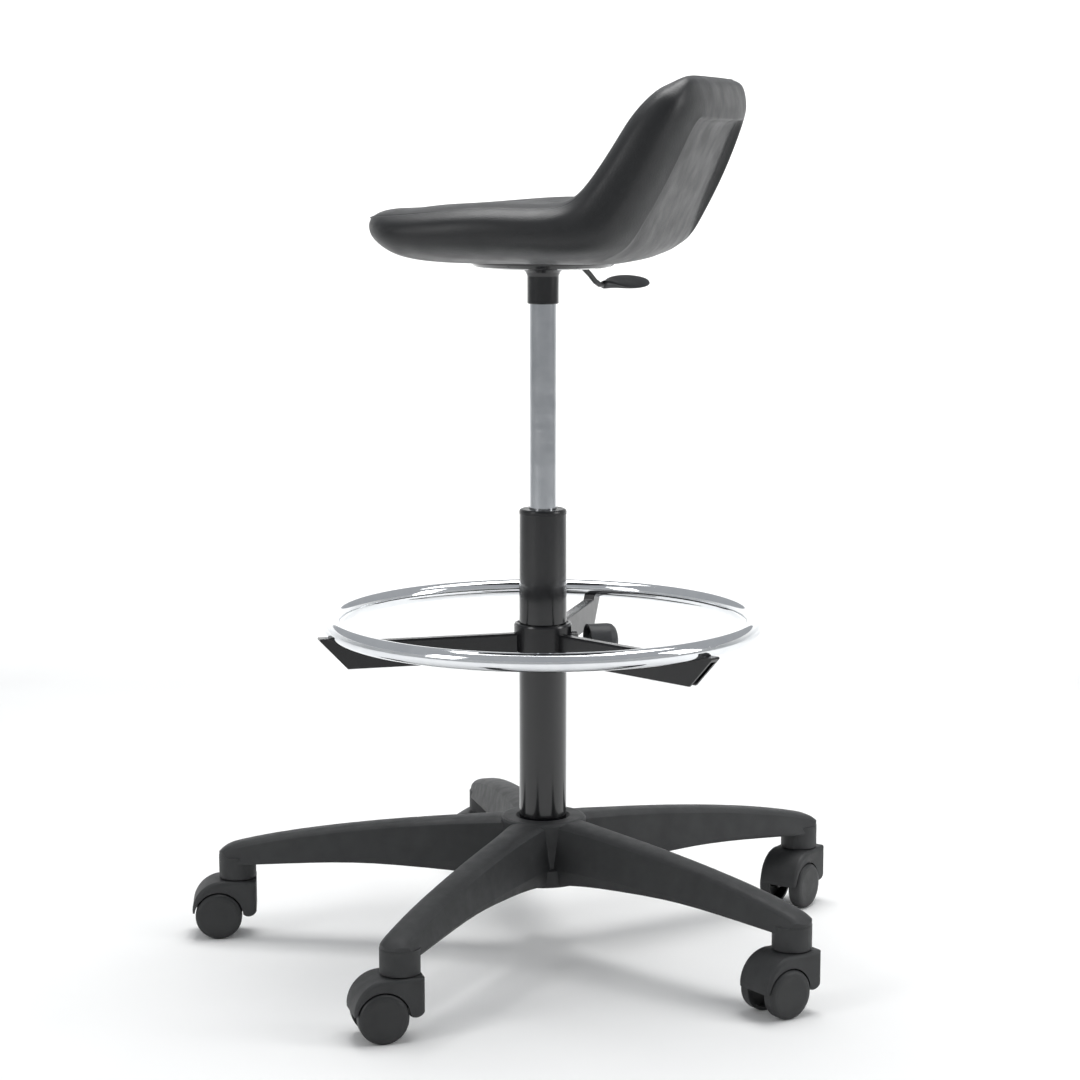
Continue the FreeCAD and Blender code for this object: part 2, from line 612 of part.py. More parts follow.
def placed_castor(shape, index):
    """A castor piece turned to its heading and moved under its arm."""
    x, y = stem_place(index)
    return moved(turned(shape, CASTOR_HEADINGS[index]), x, y)


# ---- foot ring ---------------------------------------------------------------------------

def spoke_angle(index):
    return FIRST_SPOKE + index * 360.0 / SPOKE_COUNT


def foot_ring():
    """Plated steel tube bent to a circle and closed, drilled below for the spoke screws."""
    whole = Part.makeTorus(RING_R, RING_TUBE_R, Vector(0, 0, RING_Z))
    whole = whole.cut(Part.makeTorus(RING_R, RING_TUBE_R - RING_WALL, Vector(0, 0, RING_Z)))
    for index in range(SPOKE_COUNT):
        hole = post(SPOKE_SCREW_R, RING_R, 0, RING_Z - RING_TUBE_R - 2.0, RING_Z - 3.0)
        whole = whole.cut(turned(hole, spoke_angle(index)))
    return whole


def spoke():
    """One spoke along +X: deep narrow channel, open below and at its slanted end, cradle for the ring."""
    half = SPOKE_WIDTH / 2
    start = COLLAR_BORE + 1.0
    side = [(start, SPOKE_TOP), (RING_R - RING_TUBE_R - 4.5, SPOKE_TOP),
            (RING_R - RING_TUBE_R - 0.5, SPOKE_TOP + CRADLE),
            (RING_R + RING_TUBE_R + 8.5, SPOKE_TOP + CRADLE + 0.5),
            (RING_R + RING_TUBE_R + 9.0, SPOKE_TOP + CRADLE - 1.5), (RING_R - 11.0, SPOKE_BOTTOM),
            (start, SPOKE_BOTTOM)]
    body = plate(side, half)
    long_edges = [e for e in body.Edges if e.BoundBox.YLength < 0.01 and e.BoundBox.XLength > RING_R / 2
                  and e.CenterOfMass.z > SPOKE_TOP - 1.0]
    body = body.makeFillet(min(SPOKE_ROUND, half - 1.0), long_edges)
    low = SPOKE_BOTTOM - 5.0
    hollow = plate([(COLLAR_R + 3.0, WEB_TOP), (RING_R + 4.0, WEB_TOP), (RING_R + 10.0, SPOKE_TOP - 1.0),
                    (RING_R + 40.0, SPOKE_TOP + 1.0), (RING_R + 40.0, low), (COLLAR_R + 3.0, low)],
                   half - SPOKE_WALL)
    ring = Part.makeTorus(RING_R, RING_TUBE_R, Vector(0, 0, RING_Z))
    screw = post(SPOKE_SCREW_R, RING_R, 0, WEB_TOP - 5.0, RING_Z)
    return body.cut(hollow).cut(ring).cut(screw)


def ring_spider():
    """Collar and three spokes in one moulding, with a boss for the clamp."""
    collar = revolve([
        (COLLAR_BORE, COLLAR_BOTTOM), (COLLAR_R, COLLAR_BOTTOM), (COLLAR_R, COLLAR_TOP - 2.5),
        (COLLAR_R - 0.7, COLLAR_TOP - 0.7), (COLLAR_R - 2.2, COLLAR_TOP), (COLLAR_BORE, COLLAR_TOP)])
    boss = turned(pin_x(CLAMP_BOSS_R, COLLAR_R - 2.5, CLAMP_BOSS_END, KNOB_Z), KNOB_ANGLE)
    body = join([collar, boss] + [turned(spoke(), spoke_angle(i)) for i in range(SPOKE_COUNT)])
    body = body.cut(post(COLLAR_BORE, 0, 0, COLLAR_BOTTOM - 10.0, COLLAR_TOP + 10.0))
    pad_hole = COLLAR_BORE + PAD_THICKNESS + PAD_TRAVEL + 0.2
    cuts = [pin_x(PAD_R + RUN_GAP, COLLAR_BORE - 3.0, pad_hole, KNOB_Z),
            pin_x(CLAMP_SCREW_R + HAIR_GAP, COLLAR_BORE, CLAMP_BOSS_END + 5.0, KNOB_Z),
            pin_x(NUT_R, CLAMP_BOSS_END - NUT_LENGTH, CLAMP_BOSS_END + 5.0, KNOB_Z)]
    for cutter in cuts:
        body = body.cut(turned(cutter, KNOB_ANGLE))
    return body


def clamp_nut():
    """Brass insert that the clamp screw runs in."""
    blank = pin_x(NUT_R, CLAMP_BOSS_END - NUT_LENGTH, CLAMP_BOSS_END, KNOB_Z)
    return turned(blank.cut(pin_x(CLAMP_SCREW_R + RUN_GAP, COLUMN_R, KNOB_INNER, KNOB_Z)), KNOB_ANGLE)


def ring_liner():
    """Split plastic liner between the collar and the column."""
    inner = COLUMN_R + RUN_GAP
    liner = tube(inner + LINER_WALL, inner, COLLAR_BOTTOM + 1.0, COLLAR_TOP - 1.0)
    slit = box(inner - 1.0, inner + LINER_WALL + 1.0, 1.5, COLLAR_BOTTOM, COLLAR_TOP)
    return liner.cut(turned(slit, KNOB_ANGLE + 180.0))


def clamp_pad():
    """Round pad that the clamp screw presses against the liner."""
    return turned(pin_x(PAD_R, COLLAR_BORE, COLLAR_BORE + PAD_THICKNESS, KNOB_Z), KNOB_ANGLE)


def clamp_screw():
    """Steel screw moulded into the knob."""
    shaft = pin_x(CLAMP_SCREW_R, COLLAR_BORE + PAD_THICKNESS, KNOB_OUTER - KNOB_CAP, KNOB_Z)
    return turned(shaft, KNOB_ANGLE)


def clamp_knob():
    """Knob with a domed end and a hollow inner face."""
    outline = [
        (CLAMP_SCREW_R, 3.0), (2 * CLAMP_SCREW_R, 3.0), (2 * CLAMP_SCREW_R, 8.0), (KNOB_R - KNOB_WALL, 8.0),
        (KNOB_R - KNOB_WALL + 1.0, 0), (KNOB_R, 0), (KNOB_R, KNOB_LENGTH - 9.0),
        (KNOB_R - 1.0, KNOB_LENGTH - 4.6), (KNOB_R - 3.6, KNOB_LENGTH - 1.6), (KNOB_R - 7.5, KNOB_LENGTH),
        (0, KNOB_LENGTH), (0, KNOB_LENGTH - KNOB_CAP), (CLAMP_SCREW_R, KNOB_LENGTH - KNOB_CAP)]
    solid = revolve(outline)
    solid.rotate(Vector(0, 0, 0), Vector(0, 1, 0), 90)
    solid.translate(Vector(KNOB_INNER, 0, KNOB_Z))
    return turned(solid, KNOB_ANGLE)


def spoke_screw():
    """Screw from inside a spoke up into the ring."""
    head = post(SPOKE_SCREW_HEAD_R, RING_R, 0, WEB_TOP - SPOKE_SCREW_HEAD, WEB_TOP)
    return join([head, post(SPOKE_SCREW_R, RING_R, 0, WEB_TOP, RING_Z - RING_TUBE_R + RING_WALL + 3.0)])


# ---- seat mounting -----------------------------------------------------------------------

def lever_slot(width, z0, z1):
    return turned(box(SLOT_START, SLOT_END, width / 2, z0, z1), LEVER_ANGLE)


def bolt_places():
    half = BOLT_SPACING / 2
    return [(half, half), (-half, half), (-half, -half), (half, -half)]


def seat_turned(shape):
    return turned(shape, SEAT_TURN)


def mounting_plate():
    """Shallow pressed dish under the seat, its rim flat against the seat board."""
    dish = revolve([
        (CYLINDER_R, PLATE_BOTTOM), (PLATE_R - 13.0, PLATE_BOTTOM), (PLATE_R - 6.5, PLATE_BOTTOM + 1.5),
        (PLATE_R - 2.6, PLATE_BOTTOM + 4.6), (PLATE_R, PLATE_TOP - 0.6), (PLATE_R, PLATE_TOP),
        (PLATE_R - 5.0, PLATE_TOP), (PLATE_R - 7.0, PLATE_FLOOR + 1.6), (PLATE_R - 10.0, PLATE_FLOOR),
        (CYLINDER_R, PLATE_FLOOR)])
    dish = dish.cut(lever_slot(SLOT_WIDTH, PLATE_BOTTOM - 1.0, PLATE_TOP + 1.0))
    for x, y in bolt_places():
        pillar = post(WASHER_R + PILLAR_RIM, x, y, PLATE_FLOOR, PLATE_TOP)
        dish = dish.fuse(seat_turned(pillar))
    dish = dish.removeSplitter()
    for x, y in bolt_places():
        dish = dish.cut(seat_turned(post(BOLT_R + 0.3, x, y, PLATE_BOTTOM - 1.0, PLATE_TOP + 1.0)))
        dish = dish.cut(seat_turned(post(WASHER_R + WASHER_GAP, x, y, PLATE_BOTTOM - 1.0, BOLT_SEAT)))
    return dish


def socket_tube():
    """Black socket welded under the dish; its bore is tapered for the gas cylinder."""
    start = CYLINDER_TOP - CYLINDER_TAPER
    tip = CYLINDER_R - CYLINDER_TAPER * TAPER_PER_MM
    low = SOCKET_BOTTOM
    return revolve([
        (CYLINDER_R, low), (SOCKET_R - 0.7, low), (SOCKET_R, low + 0.8), (SOCKET_R, PLATE_BOTTOM - 9.0),
        (SOCKET_R + 1.5, PLATE_BOTTOM - 5.0), (SOCKET_R + 4.0, PLATE_BOTTOM - 2.2),
        (SOCKET_NECK_R, PLATE_BOTTOM),
        (tip, PLATE_BOTTOM), (tip, CYLINDER_TOP), (CYLINDER_R, start)])


def board_blank(thickness, sink):
    """Rounded rectangle the size of the seat board, reaching sink below its underside."""
    blank = Part.makeBox(BOARD_LENGTH, BOARD_WIDTH, thickness + sink,
                         Vector(BOARD_SHIFT - BOARD_LENGTH / 2, -BOARD_WIDTH / 2, PLATE_TOP - sink))
    corners = [e for e in blank.Edges if e.BoundBox.ZLength > thickness - 0.1]
    return blank.makeFillet(BOARD_CORNER, corners)


def seat_board():
    """Plywood board moulded into the underside of the cushion."""
    board = board_blank(BOARD_THICKNESS, 0.0)
    pocket = join([box(-12.0, SLOT_END, POCKET_WIDTH / 2, PLATE_TOP - 1.0, PLATE_TOP + POCKET_DEPTH),
                   post(POCKET_WIDTH / 2 + 1.0, 0, 0, PLATE_TOP - 1.0, PLATE_TOP + POCKET_DEPTH)])
    board = seat_turned(board).cut(turned(pocket, LEVER_ANGLE))
    for x, y in bolt_places():
        shaft = post(TNUT_BARREL_R, x, y, PLATE_TOP - 1.0, BOARD_TOP + 1.0)
        sink = post(TNUT_R, x, y, BOARD_TOP - TNUT_FLANGE, BOARD_TOP + 1.0)
        board = board.cut(seat_turned(shaft)).cut(seat_turned(sink))
    return board


def seat_nut(x, y):
    """T-nut let into the top of the board."""
    flange = post(TNUT_R, x, y, BOARD_TOP - TNUT_FLANGE, BOARD_TOP)
    nut = join([flange, post(TNUT_BARREL_R, x, y, PLATE_TOP + 2.0, BOARD_TOP)])
    return seat_turned(nut.cut(post(BOLT_R, x, y, PLATE_TOP, BOARD_TOP + 1.0)))


def seat_bolt(x, y):
    """Button-head bolt up through the dish into its T-nut."""
    seat = BOLT_SEAT - WASHER_THICKNESS
    head = post(BOLT_HEAD_R, x, y, seat - BOLT_HEAD, seat)
    return seat_turned(join([head, post(BOLT_R, x, y, seat, BOARD_TOP - 1.0)]))


def bolt_washer(x, y):
    ring = post(WASHER_R, x, y, BOLT_SEAT - WASHER_THICKNESS, BOLT_SEAT)
    return seat_turned(ring.cut(post(BOLT_R, x, y, PLATE_BOTTOM, PLATE_TOP)))


# ---- release lever -----------------------------------------------------------------------

# radius from the axis and height above the pivot of each bend in the lever rod
LEVER_PATH = [(-LEVER_TIP, 0.0), (47.0, 0.0), (56.0, -4.0), (66.0, -10.5), (77.0, -18.2), (86.0, -25.8),
              (93.0, -29.4), (103.0, -30.4), (118.0, -29.0)]


def lever_rod():
    """Bent steel rod from above the button, over its pivot and out under the seat."""
    points = [Vector(r, 0, LEVER_Z + z) for r, z in LEVER_PATH]
    pieces = []
    for start, end in zip(points, points[1:]):
        pieces.append(Part.makeCylinder(LEVER_ROD_R, (end - start).Length, start, end - start))
    pieces += [Part.makeSphere(LEVER_ROD_R, bend) for bend in points[1:-1]]
    eye_half = LEVER_ROD_R - 0.4
    pieces.append(pin_y(LEVER_ROD_R + LEVER_EYE, -eye_half, eye_half, LEVER_PIVOT, LEVER_Z))
    rod = pieces[0].fuse(pieces[1:]).cut(pin_y(LEVER_PIN_R + RUN_GAP, -10.0, 10.0, LEVER_PIVOT, LEVER_Z))
    return turned(rod, LEVER_ANGLE)


def lever_ear(side):
    """One of two ears welded in the dish beside the slot, carrying the lever's pin."""
    inner = SLOT_WIDTH / 2 + EAR_GAP
    corner = Vector(LEVER_PIVOT - EAR_WIDTH / 2, inner, PLATE_FLOOR)
    block = Part.makeBox(EAR_WIDTH, EAR_THICKNESS, LEVER_Z + EAR_RISE - PLATE_FLOOR, corner)
    foot = Part.makeBox(EAR_WIDTH, EAR_THICKNESS + 3.0, 1.5, corner)
    ear = block.fuse(foot).cut(pin_y(LEVER_PIN_R, 0.0, 20.0, LEVER_PIVOT, LEVER_Z))
    if side < 0:
        ear = ear.mirror(Vector(0, 0, 0), Vector(0, 1, 0))
    return turned(ear, LEVER_ANGLE)


def lever_pin():
    half = SLOT_WIDTH / 2 + EAR_GAP + EAR_THICKNESS
    return turned(pin_y(LEVER_PIN_R, -half, half, LEVER_PIVOT, LEVER_Z), LEVER_ANGLE)


# radius and half-width of the moulded handle, and its underside and top above the pivot
HANDLE_STATIONS = [
    (98.0, 5.0, -35.4, -25.2),
    (106.0, 6.5, -35.6, -24.4),
    (116.0, 10.0, -34.6, -24.0),
    (128.0, 14.0, -33.0, -23.6),
    (142.0, 16.0, -31.4, -23.8),
    (156.0, 15.2, -30.2, -24.6),
    (168.0, 11.5, -29.6, -25.6),
    (175.0, 6.0, -29.0, -26.6)]


def handle_section(radius, half, low, high):
    """Flat oval section of the handle."""
    middle = LEVER_Z + (low + high) / 2
    rise = (high - low) / 2
    points = []
    for step in range(16):
        angle = step * math.pi / 8
        y = half * math.copysign(abs(math.cos(angle)) ** 0.8, math.cos(angle))
        points.append(Vector(radius, y, middle + rise * math.sin(angle)))
    curve = Part.BSplineCurve()
    curve.interpolate(points, PeriodicFlag=True)
    return Part.Wire(curve.toShape())


def lever_paddle():
    """Spoon-shaped moulded handle on the outer end of the rod."""
    solid = Part.makeLoft([handle_section(*s) for s in HANDLE_STATIONS], True, False)
    handle = turned(solid, LEVER_ANGLE)
    return handle.cut(lever_rod())


# ---- seat --------------------------------------------------------------------------------

# Underside place and level, sitting-side place and level, share of the half-width, share of the hollow.
# Places run from -1 at the front lip through 0 over the column to 1 at the rear of the back.
# Levels run from 0 at the dish's rim through 1 at the pan's sides to 2 at the back's top edge.
SEAT_STATIONS = [
    (-0.994, 0.474, -1.0, 0.591, 0.417, 0.0),
    (-0.955, 0.298, -0.972, 0.737, 0.635, 0.15),
    (-0.854, 0.137, -0.865, 0.810, 0.792, 0.45),
    (-0.685, 0.028, -0.685, 0.854, 0.901, 0.8),
    (-0.393, -0.031, -0.393, 0.949, 0.969, 1.0),
    (-0.056, -0.038, -0.056, 1.0, 1.0, 1.1),
    (0.229, -0.035, 0.188, 1.004, 0.995, 1.1),
    (0.479, 0.013, 0.344, 1.026, 0.979, 1.1),
    (0.641, 0.167, 0.438, 1.112, 0.958, 1.2),
    (0.734, 0.518, 0.521, 1.276, 0.932, 1.3),
    (0.823, 0.971, 0.604, 1.483, 0.906, 1.2),
    (0.911, 1.293, 0.693, 1.707, 0.880, 1.0),
    (0.979, 1.560, 0.771, 1.849, 0.833, 0.7),
    (1.0, 1.759, 0.839, 1.935, 0.760, 0.4),
    (0.984, 1.897, 0.891, 1.987, 0.646, 0.15),
    (0.953, 1.970, 0.922, 2.0, 0.521, 0.0)]


def seat_point(place, level):
    """A point on the seat's centre plane."""
    reach = SEAT_FRONT if place < 0 else SEAT_REAR
    height = min(level, 1.0) * SEAT_THICKNESS + max(level - 1.0, 0.0) * BACK_RISE
    return Vector(place * reach, 0, PLATE_TOP + height)


def seat_section(place0, level0, place1, level1, width, hollow):
    """One closed section across the seat: rounded sides, flat underside, hollowed sitting side."""
    foot = seat_point(place0, level0)
    reach = seat_point(place1, level1) - foot
    half = width * SEAT_WIDTH / 2
    points = []
    for step in range(SECTION_POINTS):
        angle = (step + 0.5) * 2 * math.pi / SECTION_POINTS
        across = math.copysign(abs(math.cos(angle)) ** 0.55, math.cos(angle))
        lift = 0.5 + 0.5 * math.copysign(abs(math.sin(angle)) ** 0.7, math.sin(angle))
        if lift > 0.5:
            dip = hollow * SEAT_DISH * (1.0 - across * across) ** 1.5 / reach.Length
            lift -= dip * (lift - 0.5) * 2
        points.append(foot + reach * lift + Vector(0, half * across, 0))
    curve = Part.BSplineCurve()
    curve.interpolate(points, PeriodicFlag=True)
    return Part.Wire(curve.toShape())


def seat_cushion():
    """Self-skinned foam seat and low back in one moulding, formed round its board."""
    solid = Part.makeLoft([seat_section(*s) for s in SEAT_STATIONS], True, False)
    solid = seat_turned(solid)
    trim = post(SEAT_WIDTH + SEAT_REAR, 0, 0, PLATE_TOP - 40.0, PLATE_TOP)
    return solid.cut(trim).cut(seat_turned(board_blank(BOARD_THICKNESS, 1.0)))


# ---- write every node --------------------------------------------------------------------

def main():
    lower, upper, cage, balls = bearing_parts()
    board = seat_board()
    save("column_tube", [column_tube()])
    save("guide_bush", [guide_bush()])
    save("bearing_race_lower", [lower])
    save("bearing_cage", [cage])
    save("bearing_balls", balls)
    save("bearing_race_upper", [upper])
    save("rubber_buffer", [rubber_buffer()])
    save("piston_rod", [piston_rod()])
    save("retaining_clip", [retaining_clip()])
    save("piston", [piston()])
    save("gas_cylinder", [gas_cylinder()])
    save("rod_seal", [rod_seal()])
    save("valve_body", [valve_body()])
    save("release_button", [release_button()])
    save("star_base", [star_base()])
    save("castor_stems", [moved(castor_stem(), *stem_place(i)) for i in range(ARM_COUNT)])
    save("grip_rings", [moved(grip_ring(), *stem_place(i)) for i in range(ARM_COUNT)])
    for index in range(ARM_COUNT):
        number = str(index + 1)
        save("castor_hood_" + number, [placed_castor(castor_hood(), index)])
        save("castor_axle_" + number, [placed_castor(castor_axle(), index)])
        save("castor_wheel_a_" + number, [placed_castor(castor_wheel(1), index)])
        save("castor_wheel_b_" + number, [placed_castor(castor_wheel(-1), index)])
    save("foot_ring", [foot_ring()])
    save("ring_spider", [ring_spider()])
    save("ring_liner", [ring_liner()])
    save("spoke_screws", [turned(spoke_screw(), spoke_angle(i)) for i in range(SPOKE_COUNT)])
    save("clamp_nut", [clamp_nut()])
    save("clamp_pad", [clamp_pad()])
    save("clamp_screw", [clamp_screw()])
    save("clamp_knob", [clamp_knob()])
    save("mounting_plate", [mounting_plate()])
    save("socket_tube", [socket_tube()])
    save("lever_ears", [lever_ear(1), lever_ear(-1)])
    save("lever_pin", [lever_pin()])
    save("lever_rod", [lever_rod()])
    save("lever_paddle", [lever_paddle()])
    save("seat_board", [board])
    save("seat_t_nuts", [seat_nut(x, y) for x, y in bolt_places()])
    save("seat_bolts", [seat_bolt(x, y) for x, y in bolt_places()])
    save("bolt_washers", [bolt_washer(x, y) for x, y in bolt_places()])
    save("seat_cushion", [seat_cushion()])


main()
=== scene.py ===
# %% [markdown]
# # A drafting chair
# This notebook dresses a finished CAD model of a gas-lift drafting chair. The frame holds every hard piece
# at its true size, so those only need a finish. The seat is soft, so it is modelled here from scratch.

# %% Start
import bpy, bmesh, json, math
from mathutils import Matrix, Vector


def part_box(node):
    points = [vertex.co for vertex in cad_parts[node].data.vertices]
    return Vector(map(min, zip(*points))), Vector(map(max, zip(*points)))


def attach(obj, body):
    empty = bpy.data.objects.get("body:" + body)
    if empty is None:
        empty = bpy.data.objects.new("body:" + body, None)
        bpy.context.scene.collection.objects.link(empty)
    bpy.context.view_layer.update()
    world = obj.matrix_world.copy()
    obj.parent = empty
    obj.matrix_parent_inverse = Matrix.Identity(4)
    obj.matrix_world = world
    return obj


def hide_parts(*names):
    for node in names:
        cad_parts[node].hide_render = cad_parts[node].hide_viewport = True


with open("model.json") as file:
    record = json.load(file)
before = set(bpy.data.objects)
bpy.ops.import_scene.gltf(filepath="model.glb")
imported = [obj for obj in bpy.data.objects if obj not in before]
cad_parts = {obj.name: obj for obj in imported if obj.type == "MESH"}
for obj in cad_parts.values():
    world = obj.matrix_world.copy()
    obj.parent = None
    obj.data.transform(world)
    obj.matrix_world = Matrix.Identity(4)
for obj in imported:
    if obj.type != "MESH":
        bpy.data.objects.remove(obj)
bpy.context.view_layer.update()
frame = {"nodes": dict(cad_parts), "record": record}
MM = 0.001
print("pieces in the frame:", len(frame["nodes"]))

# %% [markdown]
# ## Colours and nodes
# Colours are picked as sRGB hex values, as in any paint program, but shaders work in linear light. One
# function turns them. Another adds a node with its settings and links, so each material reads as a recipe.

# %% Colour and node helpers
def linear(hex_colour):
    values = [int(hex_colour[i:i + 2], 16) / 255 for i in (1, 3, 5)]
    return tuple(v / 12.92 if v <= 0.04045 else ((v + 0.055) / 1.055) ** 2.4 for v in values) + (1.0,)


def add(tree, kind, inputs=None, **settings):
    """Adds a node, sets its properties, and fills its inputs with values or other nodes' sockets."""
    node = tree.nodes.new(kind)
    for name, value in settings.items():
        setattr(node, name, value)
    for key, value in (inputs or {}).items():
        if isinstance(value, bpy.types.NodeSocket):
            tree.links.new(value, node.inputs[key])
        else:
            node.inputs[key].default_value = value
    return node


def start_material(name, **sockets):
    """A material whose shader gets its constant values directly."""
    material = bpy.data.materials.new(name)
    material.use_nodes = True
    tree = material.node_tree
    shader = tree.nodes["Principled BSDF"]
    for key, value in sockets.items():
        shader.inputs[key.replace("_", " ")].default_value = value
    place = add(tree, "ShaderNodeTexCoord").outputs["Object"]
    return material, tree, shader, place


def per_mm(size):
    """The texture scale at which one feature is about this many millimetres."""
    return 1.0 / (size * MM)

# %% [markdown]
# Most finishes share two habits: the surface has a fine relief, and its gloss wanders a little from
# handling. Both come from noise measured in millimetres. The relief goes to Bump, the wander to Roughness.

# %% Relief and wear helpers
def relief(tree, shader, height, depth_mm, below=None):
    bump = add(tree, "ShaderNodeBump", {"Height": height, "Distance": depth_mm * MM, "Strength": 1.0})
    if below is not None:
        tree.links.new(below.outputs["Normal"], bump.inputs["Normal"])
    tree.links.new(bump.outputs["Normal"], shader.inputs["Normal"])
    return bump


def wander(tree, place, size_mm, low, high, detail=4.0, stretch=(1, 1, 1)):
    """Soft noise turned into values between low and high."""
    scaled = add(tree, "ShaderNodeMapping", {"Vector": place, "Scale": stretch}).outputs["Vector"]
    noise = add(tree, "ShaderNodeTexNoise", {"Vector": scaled, "Scale": per_mm(size_mm), "Detail": detail})
    spread = add(tree, "ShaderNodeMapRange", {"Value": noise.outputs["Fac"], "From Min": 0.3, "From Max": 0.7,
                                              "To Min": low, "To Max": high})
    return spread.outputs["Result"]


def shade(tree, fac, dark, light):
    """A blend of two colours, by a value from 0 to 1."""
    mix = add(tree, "ShaderNodeMix", {0: fac, 6: linear(dark), 7: linear(light)}, data_type="RGBA")
    return mix.outputs[2]

# %% [markdown]
# ## The view
# The camera stands 2.8 m in front of the column at a little over the seat's height and looks down by 8.5
# degrees, through a lens long enough that the ring and the base keep their true proportions. The plain
# Standard view transform keeps the white floor white and the blacks deep.

# %% Camera
CAMERA_AT = (-0.0031, -2.8, 0.857)
LOOK_DOWN = math.radians(8.52)
LENS = 89.8         # millimetres

camera_data = bpy.data.cameras.new("camera")
camera_data.lens = LENS
camera = bpy.data.objects.new("camera", camera_data)
camera.location = CAMERA_AT
camera.rotation_euler = (math.radians(90) - LOOK_DOWN, 0, 0)
bpy.context.scene.collection.objects.link(camera)
bpy.context.scene.camera = camera
bpy.context.scene.view_settings.view_transform = "Standard"

# %% [markdown]
# ## The studio
# The floor runs out flat and then curves up all round like a shallow bowl, so no horizon shows from any
# side. One quarter arc, spun about the upright axis, makes it.

# %% Floor and backdrop
FLAT_RADIUS = 6.0       # metres
CURVE_RADIUS = 3.0

bowl = bmesh.new()
middle = bowl.verts.new((0, 0, 0))
foot = bowl.verts.new((FLAT_RADIUS, 0, 0))
bmesh.ops.spin(bowl, geom=[foot], cent=(FLAT_RADIUS, 0, CURVE_RADIUS), axis=(0, 1, 0), angle=-math.pi / 2,
               steps=16)
bowl.edges.new((middle, foot))
bmesh.ops.spin(bowl, geom=bowl.verts[:] + bowl.edges[:], cent=(0, 0, 0), axis=(0, 0, 1),
               angle=2 * math.pi, steps=96, use_merge=True)
bmesh.ops.remove_doubles(bowl, verts=bowl.verts, dist=0.0005)
bmesh.ops.recalc_face_normals(bowl, faces=bowl.faces)
if min(bowl.faces, key=lambda f: f.calc_center_median().length).normal.z < 0:
    bmesh.ops.reverse_faces(bowl, faces=bowl.faces)
bowl_mesh = bpy.data.meshes.new("studio_floor")
bowl.to_mesh(bowl_mesh)
bowl_mesh.shade_smooth()
floor = bpy.data.objects.new("studio_floor", bowl_mesh)
bpy.context.scene.collection.objects.link(floor)

painted, tree, shader, place = start_material("painted_studio_floor", Roughness=0.75)
tree.links.new(shade(tree, wander(tree, place, 400, 0, 1), "#f1f1f0", "#f5f5f4"), shader.inputs["Base Color"])
grit = add(tree, "ShaderNodeTexNoise", {"Vector": place, "Scale": per_mm(3)})
relief(tree, shader, grit.outputs["Fac"], 0.05)
bowl_mesh.materials.append(painted)
print("floor reaches", round(max(v.co.x for v in bowl_mesh.vertices), 2), "m")

# %% [markdown]
# Only the reflections of large soft lights draw the shape of a black object. A wide one overhead and a
# little behind draws the top edges, one to the left front opens the sides, and one to the right keeps the
# other side from closing up. A fourth lights the backdrop alone.

# %% Lights
def softbox(name, width, height, power, at, aim):
    light = bpy.data.lights.new(name, "AREA")
    light.shape = "RECTANGLE"
    light.size, light.size_y, light.energy = width, height, power
    holder = bpy.data.objects.new(name, light)
    holder.location = at
    holder.rotation_euler = (Vector(aim) - Vector(at)).to_track_quat("-Z", "Y").to_euler()
    bpy.context.scene.collection.objects.link(holder)


softbox("overhead", 2.4, 1.6, 75, (0.2, 0.6, 3.0), (0, 0, 0.5))
softbox("backdrop", 5.0, 1.0, 420, (0.0, 2.6, 3.6), (0, 8.0, 1.8))
softbox("left_front", 1.0, 1.8, 26, (-2.6, -2.0, 1.8), (0, 0, 0.6))
softbox("right_side", 0.8, 1.8, 26, (2.8, -0.6, 1.6), (0, 0, 0.6))
world = bpy.data.worlds.new("studio_air")
world.use_nodes = True
world.node_tree.nodes["Background"].inputs["Color"].default_value = linear("#e8ebef")
world.node_tree.nodes["Background"].inputs["Strength"].default_value = 0.5
bpy.context.scene.world = world

# %% [markdown]
# ## Finishes
# ### Self-skinned polyurethane foam
# The seat is one moulding. Foam that touches the cold mould collapses into a dense black skin, which copies
# the mould's fine leather grain. It looks satin, with broad soft highlights broken up by the grain. Cells
# of about 1.6 mm give the grain, and a second, finer noise gives the pores.

# %% Seat skin
seat_skin, tree, shader, place = start_material("self_skinned_polyurethane", IOR=1.5)
tree.links.new(shade(tree, wander(tree, place, 45, 0, 1), "#121315", "#17181a"), shader.inputs["Base Color"])
tree.links.new(wander(tree, place, 25, 0.40, 0.52), shader.inputs["Roughness"])
cells = add(tree, "ShaderNodeTexVoronoi", {"Vector": place, "Scale": per_mm(1.6)}, feature="SMOOTH_F1")
pores = add(tree, "ShaderNodeTexNoise", {"Vector": place, "Scale": per_mm(0.9), "Detail": 3.0})
first = relief(tree, shader, cells.outputs["Distance"], 0.14)
relief(tree, shader, pores.outputs["Fac"], 0.06, below=first)

# %% [markdown]
# ### Glass-filled nylon
# The base, hoods and wheels are injection moulded in nylon filled with glass, whose mould was spark eroded:
# charcoal, matte, with a fine even grit. The wheels are the same plastic, smoother and a shade darker.

# %% Nylons
def moulded(name, dark, light, rough_low, rough_high, grit_mm, depth_mm):
    """Injection-moulded plastic with a spark-eroded grit and a little unevenness of gloss."""
    material, tree, shader, place = start_material(name, IOR=1.5)
    colour = shade(tree, wander(tree, place, 30, 0, 1), dark, light)
    tree.links.new(colour, shader.inputs["Base Color"])
    tree.links.new(wander(tree, place, 14, rough_low, rough_high), shader.inputs["Roughness"])
    grit = add(tree, "ShaderNodeTexNoise", {"Vector": place, "Scale": per_mm(grit_mm), "Detail": 2.0})
    relief(tree, shader, grit.outputs["Fac"], depth_mm)
    return material


